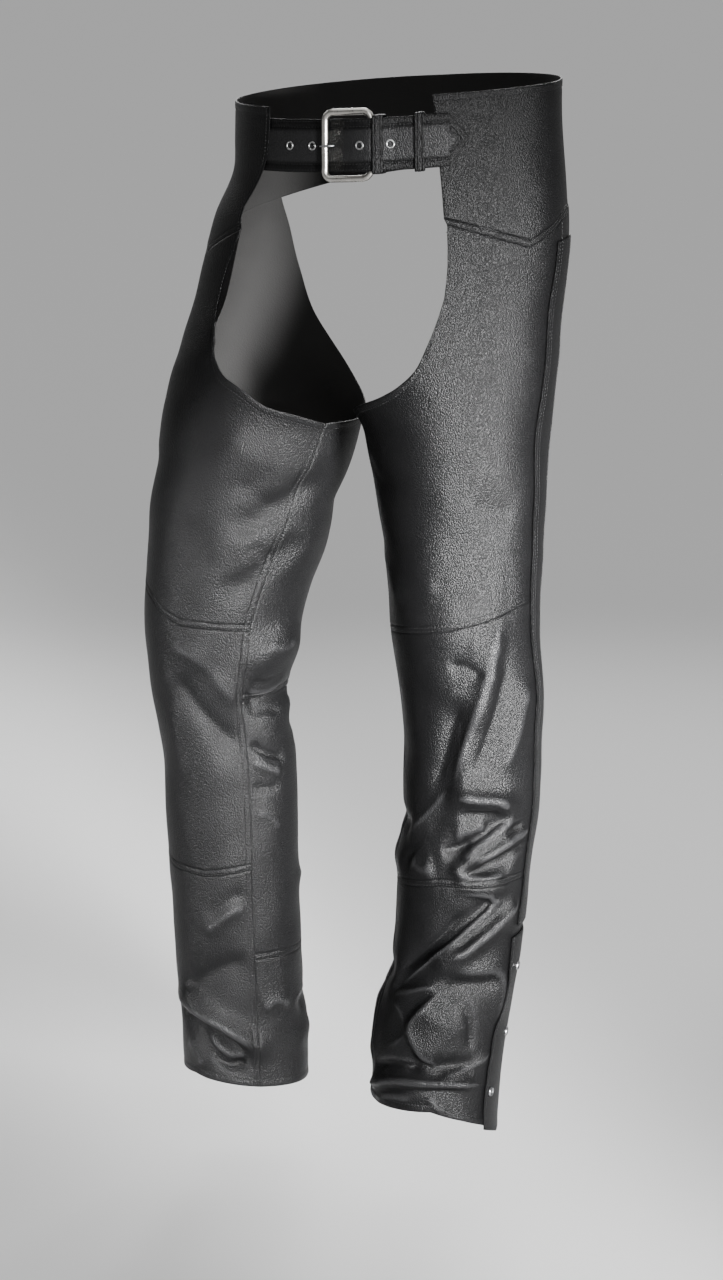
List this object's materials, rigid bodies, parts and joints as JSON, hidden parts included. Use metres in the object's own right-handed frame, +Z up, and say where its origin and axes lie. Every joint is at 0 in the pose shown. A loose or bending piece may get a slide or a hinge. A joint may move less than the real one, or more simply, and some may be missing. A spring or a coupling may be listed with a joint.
{
  "type": "leather chaps",
  "caption": "Black leather riding chaps, worn shape: open front and seat, hip yokes, wide belt with a frame buckle, seamed legs with zip flaps and snap flaps.",
  "frame": {"origin": "middle of the waist opening at the belt's mid height, where the wearer's waist holds the chaps up", "axes": "+Z up, the wearer faces -Y, so +X is the wearer's left; the waist's plane leans a little forward and to the wearer's right"},
  "size_m": [0.4484, 0.2604, 1.0981],
  "materials": {
    "leather": "black cowhide, fine pebbled grain, semi-gloss",
    "buckle_metal": "brushed antique silver",
    "eyelet_metal": "polished nickel",
    "snap_metal": "dark nickel"
  },
  "bodies": {
    "root": {"front_thigh_left": "leather", "front_knee_left": "leather", "front_shin_left": "leather", "back_thigh_left": "leather", "back_calf_left": "leather", "back_ankle_left": "leather", "zip_flap_left": "leather", "snap_flap_left": "leather", "yoke_left": "leather", "front_thigh_right": "leather", "front_knee_right": "leather", "front_shin_right": "leather", "back_thigh_right": "leather", "back_calf_right": "leather", "back_ankle_right": "leather", "zip_flap_right": "leather", "snap_flap_right": "leather", "yoke_right": "leather", "belt_tongue": "leather", "belt_chape_upper": "leather", "belt_chape_lower": "leather", "keeper_by_buckle": "leather", "keeper_on_tip": "leather", "buckle_frame": "buckle_metal", "buckle_prong": "buckle_metal", "eyelet_1": "eyelet_metal", "eyelet_2": "eyelet_metal", "eyelet_4": "eyelet_metal", "eyelet_5": "eyelet_metal", "snap_left_1": "snap_metal", "snap_left_2": "snap_metal", "snap_left_3": "snap_metal", "snap_right_1": "snap_metal", "snap_right_2": "snap_metal", "snap_right_3": "snap_metal"}
  },
  "joints": []
}
